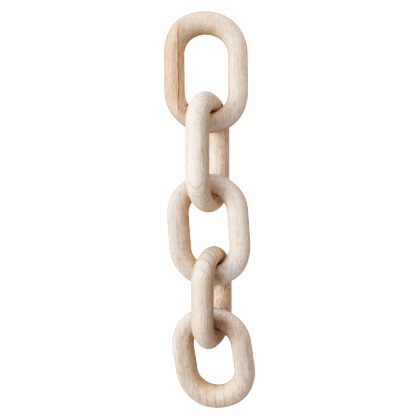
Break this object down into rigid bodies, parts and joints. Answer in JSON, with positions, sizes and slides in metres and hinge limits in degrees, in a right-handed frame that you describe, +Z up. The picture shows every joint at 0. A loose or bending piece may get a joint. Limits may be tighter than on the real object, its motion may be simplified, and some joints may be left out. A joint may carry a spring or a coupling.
{
  "type": "carved wooden chain",
  "caption": "Loose decorative chain of hand-carved oval wooden links, each threaded through the next, lying straight with every link leaning on its neighbours.",
  "frame": {"origin": "centre of the bounding box's base, on the surface under the middle of the chain", "axes": "+Y along the chain towards its first link, +Z up from the surface it lies on, +X across the chain"},
  "size_m": [0.0794, 0.3968, 0.0625],
  "materials": {
    "carved_wood": "bare, sanded smooth, matt"
  },
  "bodies": {
    "root": {"first_link": "carved_wood", "second_link": "carved_wood", "third_link": "carved_wood", "fourth_link": "carved_wood", "fifth_link": "carved_wood"}
  },
  "joints": []
}
